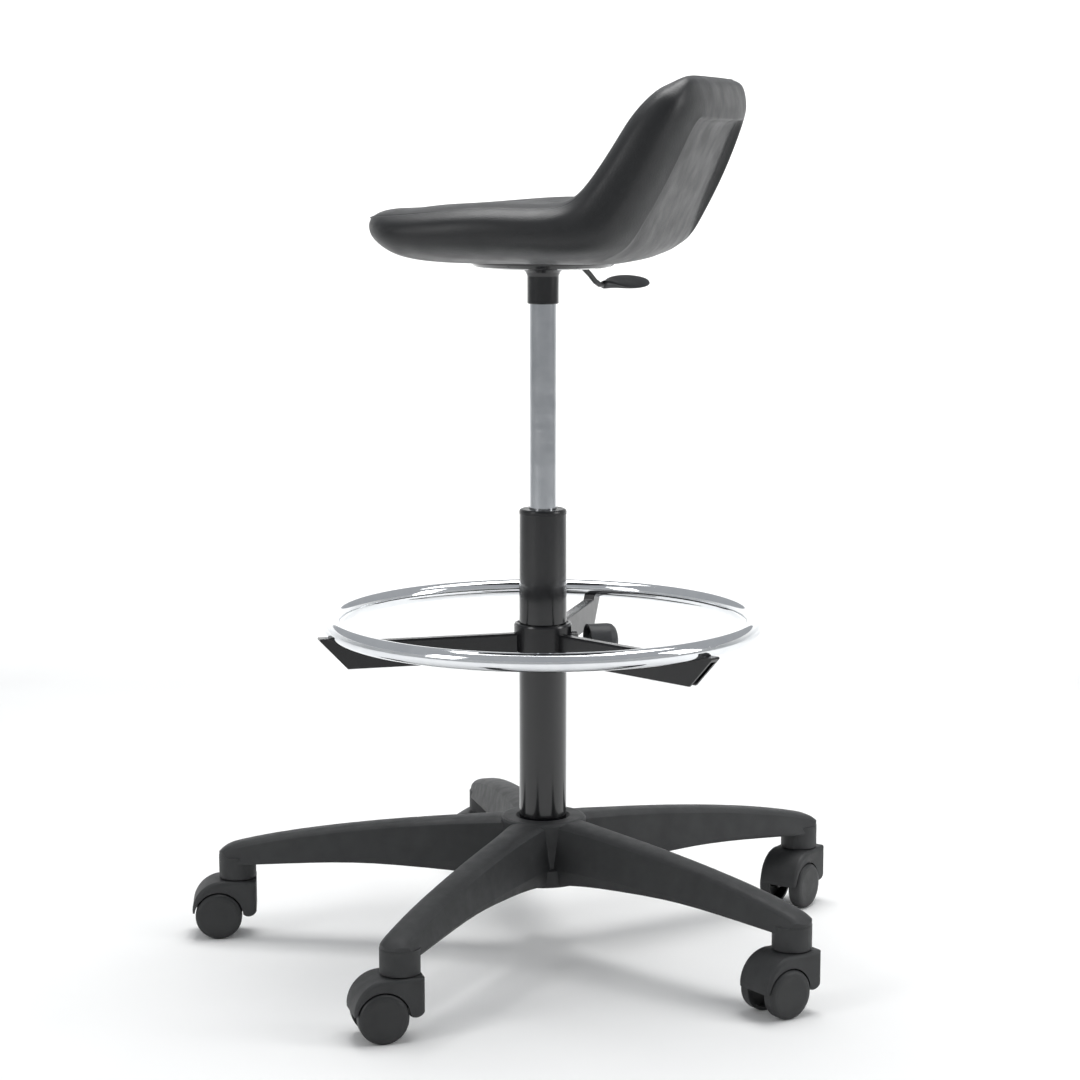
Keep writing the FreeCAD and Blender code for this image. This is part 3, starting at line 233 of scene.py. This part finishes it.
base_nylon = moulded("glass_filled_nylon", "#242526", "#2b2c2d", 0.52, 0.64, 1.1, 0.10)
wheel_nylon = moulded("wheel_nylon", "#1c1d1e", "#222324", 0.42, 0.56, 0.9, 0.06)
spider_nylon = moulded("polished_nylon", "#0a0a0d", "#0e0e11", 0.20, 0.27, 2.0, 0.006)
knob_plastic = moulded("moulded_polypropylene", "#2d2e30", "#38393b", 0.38, 0.50, 0.9, 0.05)
bush_plastic = moulded("acetal", "#101012", "#161618", 0.26, 0.36, 1.5, 0.02)
buffer_rubber = moulded("moulded_rubber", "#141414", "#1c1c1b", 0.66, 0.80, 0.8, 0.06)

# %% [markdown]
# ### Stoved enamel
# The column, the socket and the dish are sprayed black and baked. The film is glossy, deep black, and
# carries a faint orange peel a few millimetres across.

# %% Enamel
black_enamel, tree, shader, place = start_material("stoved_black_enamel", IOR=1.5)
shader.inputs["Coat Weight"].default_value = 0.4
shader.inputs["Coat Roughness"].default_value = 0.08
tree.links.new(shade(tree, wander(tree, place, 20, 0, 1), "#070709", "#0c0c0f"), shader.inputs["Base Color"])
tree.links.new(wander(tree, place, 40, 0.16, 0.22), shader.inputs["Roughness"])
peel = add(tree, "ShaderNodeTexNoise", {"Vector": place, "Scale": per_mm(3.5), "Detail": 1.0})
relief(tree, shader, peel.outputs["Fac"], 0.008)

# %% [markdown]
# ### Plated and bare metals
# Chrome plate mirrors whatever is round it, so its look is nearly all reflection. The ring is polished
# bright. The cylinder's chrome is ground, which leaves a finer, greyer mirror with faint marks round it.
# Turned steel and aluminium carry rings of tool marks, brass is drawn.

# %% Metals
def metal(name, colour_low, colour_high, rough_low, rough_high, mark_mm, depth_mm, stretch=(1, 1, 1)):
    material, tree, shader, place = start_material(name, Metallic=1.0)
    colour = shade(tree, wander(tree, place, 25, 0, 1), colour_low, colour_high)
    tree.links.new(colour, shader.inputs["Base Color"])
    gloss = wander(tree, place, 10, rough_low, rough_high, stretch=stretch)
    tree.links.new(gloss, shader.inputs["Roughness"])
    turned = add(tree, "ShaderNodeMapping", {"Vector": place, "Scale": stretch}).outputs["Vector"]
    marks = add(tree, "ShaderNodeTexNoise", {"Vector": turned, "Scale": per_mm(mark_mm), "Detail": 2.0})
    relief(tree, shader, marks.outputs["Fac"], depth_mm)
    return material


ring_chrome = metal("bright_chrome_plate", "#e2e4e7", "#eceef0", 0.04, 0.09, 6.0, 0.004)
cylinder_chrome = metal("ground_hard_chrome", "#b4b7bb", "#c6c8cb", 0.10, 0.20, 3.0, 0.006, (0.35, 0.35, 1.6))
bright_steel = metal("turned_steel", "#a9abad", "#bfc1c3", 0.22, 0.36, 1.0, 0.01, (0.2, 0.2, 2.0))
piston_aluminium = metal("machined_aluminium", "#c3c5c8", "#d2d4d6", 0.28, 0.40, 0.8, 0.01, (0.2, 0.2, 2.0))
cage_brass = metal("drawn_brass", "#c9a45c", "#d8b772", 0.26, 0.38, 1.2, 0.01)

# %% [markdown]
# ### Birch plywood
# The board inside the foam is seven plies thick. Bands of about 1.7 mm run through its edge, and the grain
# runs along its faces.

# %% Plywood
board_ply, tree, shader, place = start_material("birch_plywood", IOR=1.5)
PLY_PAIR = 3.4      # millimetres, two plies
sheets = add(tree, "ShaderNodeTexWave",
             {"Vector": place, "Scale": per_mm(PLY_PAIR) / (2 * math.pi), "Distortion": 0.4},
             bands_direction="Z")
grain = wander(tree, place, 4, 0, 1, stretch=(0.08, 1, 1))
both = add(tree, "ShaderNodeMath", {0: sheets.outputs["Fac"], 1: grain}, operation="MULTIPLY").outputs[0]
tree.links.new(shade(tree, both, "#b98f5e", "#d9b988"), shader.inputs["Base Color"])
tree.links.new(wander(tree, place, 6, 0.55, 0.7), shader.inputs["Roughness"])
relief(tree, shader, grain, 0.03)

# %% [markdown]
# ## Dressing the frame
# Every CAD piece names the finish it was designed with, so the finishes are handed out by that name.

# %% Hand out the finishes
finishes = {
    "base_nylon": base_nylon, "wheel_nylon": wheel_nylon, "spider_nylon": spider_nylon,
    "knob_plastic": knob_plastic, "bush_plastic": bush_plastic, "black_steel": black_enamel,
    "cylinder_chrome": cylinder_chrome, "ring_chrome": ring_chrome, "bright_steel": bright_steel,
    "piston_aluminium": piston_aluminium, "cage_brass": cage_brass, "buffer_rubber": buffer_rubber,
    "board_ply": board_ply, "seat_foam": seat_skin}
for row in frame["record"]["subparts"]:
    mesh = frame["nodes"][row["node"]].data
    for index in range(max(1, len(mesh.materials))):
        if len(mesh.materials) <= index:
            mesh.materials.append(finishes[row["material_slot"]])
        else:
            mesh.materials[index] = finishes[row["material_slot"]]

# %% [markdown]
# ## Shape helpers
# The seat and the lever's handle are both lofts: a circle is made for each section, its points are moved to
# their places, neighbouring sections are bridged, and the two small ends are closed with one face each.

# %% Loft and piece helpers
def loft(bm, sections):
    """Rings of vertices through the sections' points, bridged and closed."""
    rings = []
    for points in sections:
        ring = bmesh.ops.create_circle(bm, segments=len(points), radius=1.0)["verts"]
        for vert, spot in zip(ring, points):
            vert.co = spot
        rings.append(ring)
    for low, high in zip(rings, rings[1:]):
        edges = [e for e in bm.edges if all(v in low for v in e.verts) or all(v in high for v in e.verts)]
        bmesh.ops.bridge_loops(bm, edges=edges)
    for ring in (rings[0], rings[-1]):
        bmesh.ops.contextual_create(bm, geom=ring)
    bmesh.ops.recalc_face_normals(bm, faces=bm.faces)
    return rings


def superellipse(angle, across_power, up_power):
    """A point of a unit circle drawn out towards a square by powers below 1."""
    across, up = math.cos(angle), math.sin(angle)
    return math.copysign(abs(across) ** across_power, across), math.copysign(abs(up) ** up_power, up)


def smooth_piece(name, bm, material):
    """An object in the scene with this mesh, smooth shaded."""
    mesh = bpy.data.meshes.new(name)
    bm.to_mesh(mesh)
    bm.free()
    mesh.shade_smooth()
    mesh.materials.append(material)
    piece = bpy.data.objects.new(name, mesh)
    bpy.context.scene.collection.objects.link(piece)
    return piece


def apply_modifier(piece, kind, **settings):
    """Adds a modifier, bakes it into the mesh, and removes it."""
    modifier = piece.modifiers.new(kind.lower(), kind)
    for name, value in settings.items():
        setattr(modifier, name, value)
    graph = bpy.context.evaluated_depsgraph_get()
    baked = bpy.data.meshes.new_from_object(piece.evaluated_get(graph))
    piece.modifiers.clear()
    piece.data = baked

# %% [markdown]
# ## The seat
# The seat is one foam moulding: a pan whose front edge falls away, a dished sitting face, and a low back
# that grows out of it. It has no cover and no seams. It could be sculpted, or simulated as a cushion, but
# self-skinned foam keeps the mould's shape, so a cage of cross-sections and a subdivision surface suit it.
# Each section is placed on the seat's centre plane by two points: one on the underside or rear, one on the
# sitting side.

# %% Where the seat is
rim_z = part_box("mounting_plate")[1][2]
top_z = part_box("seat_cushion")[1][2]
SEAT_TURN = math.radians(-15.5)
FRONT, REAR, HALF_WIDTH = 152 * MM, 192 * MM, 192 * MM
THICKNESS = 68.4 * MM
RISE = top_z - rim_z - THICKNESS
print("seat stands", round(rim_z, 4), "to", round(top_z, 4), "m")


def seat_point(place, level):
    """place: -1 front lip, 0 column, 1 rear. level: 0 dish rim, 1 pan's sides, 2 top of the back."""
    height = min(level, 1.0) * THICKNESS + max(level - 1.0, 0.0) * RISE
    return Vector((place * (FRONT if place < 0 else REAR), 0, rim_z + height))

# %% [markdown]
# Each row below is one section: underside place and level, sitting-side place and level, share of the
# half-width, share of the dish's depth, and how square its corners are.

# %% Sections
SECTIONS = [
    (-0.990, 0.474, -1.000, 0.591, 0.440, 0.00, 0.0),
    (-0.950, 0.270, -0.972, 0.730, 0.655, 0.10, 0.0),
    (-0.845, 0.100, -0.865, 0.830, 0.812, 0.35, 0.0),
    (-0.685, -0.010, -0.685, 0.890, 0.915, 0.60, 0.0),
    (-0.393, -0.050, -0.393, 0.975, 0.975, 0.90, 0.0),
    (-0.056, -0.050, -0.056, 1.020, 1.000, 1.00, 0.0),
    (0.229, -0.050, 0.160, 1.010, 0.995, 1.00, 0.1),
    (0.479, -0.010, 0.300, 1.030, 0.979, 1.00, 0.5),
    (0.641, 0.167, 0.385, 1.125, 0.958, 1.10, 0.9),
    (0.734, 0.518, 0.465, 1.300, 0.932, 1.10, 1.0),
    (0.823, 0.971, 0.545, 1.510, 0.906, 1.00, 0.9),
    (0.911, 1.293, 0.635, 1.735, 0.880, 0.80, 0.7),
    (0.983, 1.600, 0.735, 1.890, 0.830, 0.50, 0.4),
    (1.000, 1.759, 0.805, 1.945, 0.770, 0.30, 0.2),
    (0.986, 1.897, 0.875, 1.988, 0.680, 0.10, 0.0),
    (0.953, 1.970, 0.922, 2.000, 0.560, 0.00, 0.0)]
DISH = 16 * MM
AROUND = 32
RIDGE = 3           # the section's corner, counted from the middle of the underside
PARTING = 11        # the mould's parting line, counted the same way
CROWN = 0.12        # how much rounder the sitting side is than the underside


def section_points(row):
    """Points round one section, from the middle of the underside, with squarer corners at the rear."""
    place0, level0, place1, level1, width, dish, square = row
    foot = seat_point(place0, level0)
    reach = seat_point(place1, level1) - foot
    wide, high = 0.60 - 0.10 * square, 0.74 - 0.10 * square
    points = []
    for step in range(AROUND):
        angle = 2 * math.pi * step / AROUND - math.pi / 2
        across, up = superellipse(angle, wide, high if angle < 0 else high + CROWN)
        lift = 0.5 + 0.5 * up
        if lift > 0.5:
            lift -= dish * DISH / reach.length * (1 - across * across) ** 1.5 * (lift - 0.5) * 2
        points.append(foot + reach * lift + Vector((0, HALF_WIDTH * width * across, 0)))
    return points

# %% Cage
seat = bmesh.new()
crease = seat.edges.layers.float.new("crease_edge")
rings = loft(seat, [section_points(row) for row in SECTIONS])
print("cage faces:", len(seat.faces))

# %% [markdown]
# A subdivision surface passes inside its cage, which would leave the seat thinner than it is. Where four
# quads meet, the surface's point is a known blend of the vertex and its eight neighbours, so each vertex is
# pushed out by what it lacks, a few times over, until the surface runs through the sections.

# %% Let the cage out
def surface_point(vert):
    """Where the smooth surface passes for a vertex with four quads round it."""
    beside = sum((e.other_vert(vert).co for e in vert.link_edges), Vector())
    around = sum((v.co for f in vert.link_faces for v in f.verts), Vector())
    corners = around - 4 * vert.co - 2 * beside
    return (16 * vert.co + 4 * beside + corners) / 36


targets = {vert: vert.co.copy() for vert in seat.verts
           if len(vert.link_faces) == 4 and all(len(f.verts) == 4 for f in vert.link_faces)}
for turn in range(8):
    steps = {vert: spot - surface_point(vert) for vert, spot in targets.items()}
    for vert, step in steps.items():
        vert.co += step
print("furthest point still off by", round(max(s.length for s in steps.values()) / MM, 2), "mm")

# %% [markdown]
# The rear of the back and the tail of the pan hold a shallow recessed panel, left by the mould's core. Its
# edge is crisp at the sides and the top, and the floor of the panel runs out into the underside. Two insets
# make the edge and the wall, and the floor's lower points are then let back out to nothing.

# %% Rear panel
column_of = {vert: (row, column) for row, ring in enumerate(rings) for column, vert in enumerate(ring)}
PANEL_ROWS = (7, 12)
PANEL_DEPTH = 8.5 * MM
PANEL_FADE = 60 * MM        # height over which the floor sinks to its full depth
FADE_START = 4 * MM
RIDGE_CREASE = 0.75


def on_panel(face):
    spots = [column_of.get(v) for v in face.verts]
    if len(spots) != 4 or None in spots:
        return False
    rows = [row for row, column in spots]
    sides = [min(column, AROUND - column) for row, column in spots]
    return min(rows) >= PANEL_ROWS[0] and max(rows) <= PANEL_ROWS[1] and max(sides) <= RIDGE


panel = [face for face in seat.faces if on_panel(face)]
ridge = [e for e in seat.edges if sum(f in panel for f in e.link_faces) == 1]
bmesh.ops.inset_region(seat, faces=panel, thickness=3.0 * MM, use_even_offset=True)
wall = bmesh.ops.inset_region(seat, faces=panel, thickness=3.5 * MM, use_even_offset=True)["faces"]
foot_z = seat_point(*SECTIONS[PANEL_ROWS[0]][:2]).z
for vert in {v for f in panel for v in f.verts}:
    rise = min(1.0, max(0.0, (vert.co.z - foot_z - FADE_START) / PANEL_FADE))
    vert.co -= vert.normal * PANEL_DEPTH * rise * rise * (3 - 2 * rise)
for edge in ridge:
    edge[crease] = RIDGE_CREASE
print("panel faces:", len(panel), "wall faces:", len(wall))

# %% [markdown]
# The two halves of the mould meet along the side, a little under its top edge, and leave a hair line in the
# skin. The cage's edges there are bevelled to a narrow strip, whose middle is sunk.

# %% Parting line
line = []
for row in range(1, len(rings) - 1):
    for column in (PARTING, AROUND - PARTING):
        edge = seat.edges.get((rings[row][column], rings[row + 1][column]))
        if edge:
            line.append(edge)
LINE_HALF_WIDTH = 1.1 * MM
LINE_DEPTH = 0.7 * MM
strip = bmesh.ops.bevel(seat, geom=line, offset=LINE_HALF_WIDTH, offset_type="OFFSET", segments=1,
                        profile=0.5, affect="EDGES", material=-1)["faces"]
bmesh.ops.inset_region(seat, faces=strip, thickness=0.5 * MM, depth=-LINE_DEPTH)

# %% [markdown]
# The cage is swung to face the way the seat does, smoothed by a subdivision surface, and opened from below
# over the dish, where the bolts and the lever reach up to the board.

# %% Seat piece
bmesh.ops.rotate(seat, verts=seat.verts, cent=(0, 0, 0), matrix=Matrix.Rotation(SEAT_TURN, 3, "Z"))
seat_piece = smooth_piece("seat_skin", seat, seat_skin)
apply_modifier(seat_piece, "SUBSURF", levels=3, render_levels=3)

WELL_RADIUS = 75.5 * MM     # just wider than the dish
WELL_RISE = 12.5 * MM
CUTTER_DEPTH = 40 * MM
cut = bmesh.new()
bmesh.ops.create_cone(cut, cap_ends=True, segments=96, radius1=WELL_RADIUS, radius2=WELL_RADIUS,
                      depth=CUTTER_DEPTH)
bmesh.ops.translate(cut, verts=cut.verts, vec=(0, 0, rim_z + WELL_RISE - CUTTER_DEPTH / 2))
cut_mesh = bpy.data.meshes.new("cutter")
cut.to_mesh(cut_mesh)
cutter = bpy.data.objects.new("cutter", cut_mesh)
bpy.context.scene.collection.objects.link(cutter)
bpy.context.view_layer.update()
apply_modifier(seat_piece, "BOOLEAN", operation="DIFFERENCE", object=cutter, solver="EXACT")
bpy.data.objects.remove(cutter)
seat_piece.data.name = "seat_skin"
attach(seat_piece, "seat")
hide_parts("seat_cushion")
print("seat faces:", len(seat_piece.data.polygons))

# %% [markdown]
# ## The lever's handle
# The handle is a moulded spoon. It grows out of a short neck into a thin oval blade, which leans so that
# its upper face looks outward to the hand. Each row is one section: distance from the column's axis,
# half-width, half-thickness and height in millimetres, and share of the lean.

# %% Handle
LEVER_TURN = math.radians(50.0)
BLADE_LEAN = math.radians(24)
low_corner, high_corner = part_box("lever_paddle")
handle_z = (low_corner[2] + high_corner[2]) / 2
HANDLE = [
    (98, 4.4, 4.4, -0.5, 0.0), (104, 5.4, 4.6, -0.5, 0.1), (110, 8.0, 4.2, 0.0, 0.5),
    (120, 12.5, 3.0, 0.4, 0.9), (134, 15.5, 2.2, 0.8, 1.0), (150, 15.8, 1.9, 1.2, 1.0),
    (164, 13.0, 1.7, 1.6, 1.0), (173, 7.5, 1.4, 1.8, 1.0), (176, 2.5, 1.0, 1.9, 1.0)]
HANDLE_AROUND = 20


def handle_points(radius, half, thick, height, share):
    """Points round one section, turned about the handle's length by its share of the lean."""
    lean = BLADE_LEAN * share
    points = []
    for step in range(HANDLE_AROUND):
        across, up = superellipse(2 * math.pi * step / HANDLE_AROUND, 0.8, 1.0)
        across, up = half * across, thick * up
        points.append((radius * MM, (across * math.cos(lean) - up * math.sin(lean)) * MM,
                       handle_z + (height + across * math.sin(lean) + up * math.cos(lean)) * MM))
    return points


spoon = bmesh.new()
loft(spoon, [handle_points(*row) for row in HANDLE])
bmesh.ops.rotate(spoon, verts=spoon.verts, cent=(0, 0, 0), matrix=Matrix.Rotation(LEVER_TURN, 3, "Z"))
spoon_piece = smooth_piece("lever_handle", spoon, knob_plastic)
apply_modifier(spoon_piece, "SUBSURF", levels=2, render_levels=2)
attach(spoon_piece, "lever")
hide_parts("lever_paddle")
print("handle faces:", len(spoon_piece.data.polygons))
